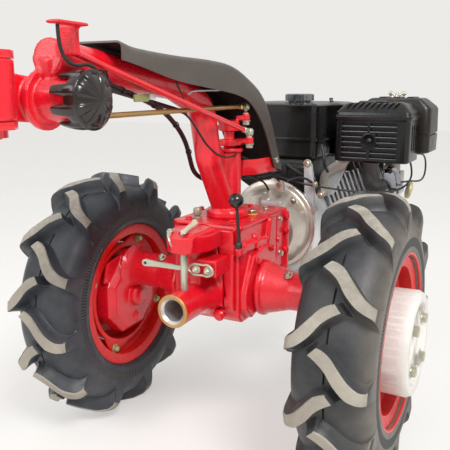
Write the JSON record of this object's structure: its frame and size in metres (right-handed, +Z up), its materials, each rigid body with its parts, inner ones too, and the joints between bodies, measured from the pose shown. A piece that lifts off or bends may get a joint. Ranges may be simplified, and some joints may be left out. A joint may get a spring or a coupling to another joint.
{
  "type": "walking tractor",
  "caption": "Walking tractor: lugged drive wheels with portal final drives, gearbox, engine in front, steering column, handlebar, rear hitch socket and folding stand.",
  "frame": {"origin": "on the floor under the middle of the machine's box", "axes": "+X forward towards the engine, +Y to the driver's left, +Z up"},
  "size_m": [1.79, 0.846, 1.109],
  "materials": {
    "aluminium": "die-cast, bare",
    "black_paint": "satin enamel over pressed steel",
    "black_plastic": "moulded, fine grain",
    "brass": "drawn rod",
    "cream_paint": "gloss enamel on flat steel",
    "red_paint": "gloss enamel over cast and welded steel",
    "rubber": "matt",
    "steel": "turned, bare",
    "tyre": "satin moulded rubber",
    "white_paint": "satin enamel over cast iron",
    "zinc": "yellow zinc plate"
  },
  "bodies": {
    "wheel_left": {"disc_left": "red_paint", "hub_left": "red_paint", "rim_left": "red_paint", "tyre_left": "tyre", "weight_left": "white_paint"},
    "wheel_right": {"disc_right": "red_paint", "hub_right": "red_paint", "rim_right": "red_paint", "tyre_right": "tyre", "weight_right": "white_paint"},
    "stand": {"stand": "black_paint"},
    "yoke": {"yoke": "red_paint"},
    "handlebar": {"clutch_lever": "black_plastic", "grip_left": "rubber", "grip_right": "rubber", "handlebar": "red_paint", "throttle_lever": "black_plastic"},
    "machine": {"air_cleaner": "black_plastic", "axle_tube_left": "red_paint", "axle_tube_right": "red_paint", "brass_rod": "brass", "cable_harness": "rubber", "carburettor": "aluminium", "clamp_knob": "black_plastic", "clutch_housing": "aluminium", "cylinder": "aluminium", "dark_rod": "red_paint", "engine_block": "aluminium", "engine_bracket": "black_paint", "engine_shroud": "black_paint", "exhaust_pipe": "black_paint", "final_drive_left": "red_paint", "final_drive_right": "red_paint", "front_case": "red_paint", "fuel_tank": "black_paint", "gear_lever": "black_plastic", "gearbox_case": "red_paint", "hitch_lever": "steel", "hitch_pin": "zinc", "hitch_socket": "red_paint", "muffler_guard": "black_paint", "recoil_starter": "black_paint", "red_rod": "red_paint", "selector_arms": "red_paint", "selector_lever": "cream_paint", "shield": "black_plastic", "shield_strap": "red_paint", "steering_column": "red_paint", "throttle_cable": "rubber", "valve_cover": "steel"}
  },
  "joints": [
    {"name": "wheel_left_spin", "type": "hinge", "parent": "machine", "child": "wheel_left", "pos_m": [0.27, 0.319, 0.29], "axis": [0, 1, 0], "continuous": true},
    {"name": "wheel_right_spin", "type": "hinge", "parent": "machine", "child": "wheel_right", "pos_m": [0.27, -0.319, 0.29], "axis": [0, 1, 0], "continuous": true},
    {"name": "stand_fold", "type": "hinge", "parent": "machine", "child": "stand", "pos_m": [0.76, 0, 0.272], "axis": [0, 1, 0], "range_deg": [0, 80]},
    {"name": "handlebar_height", "type": "hinge", "parent": "machine", "child": "yoke", "pos_m": [-0.245, 0, 0.762], "axis": [0, 1, 0], "range_deg": [-12, 28]},
    {"name": "handlebar_swing", "type": "hinge", "parent": "yoke", "child": "handlebar", "pos_m": [-0.358, 0.004, 0.775], "axis": [0, 0, 1], "range_deg": [-15, 15]}
  ]
}
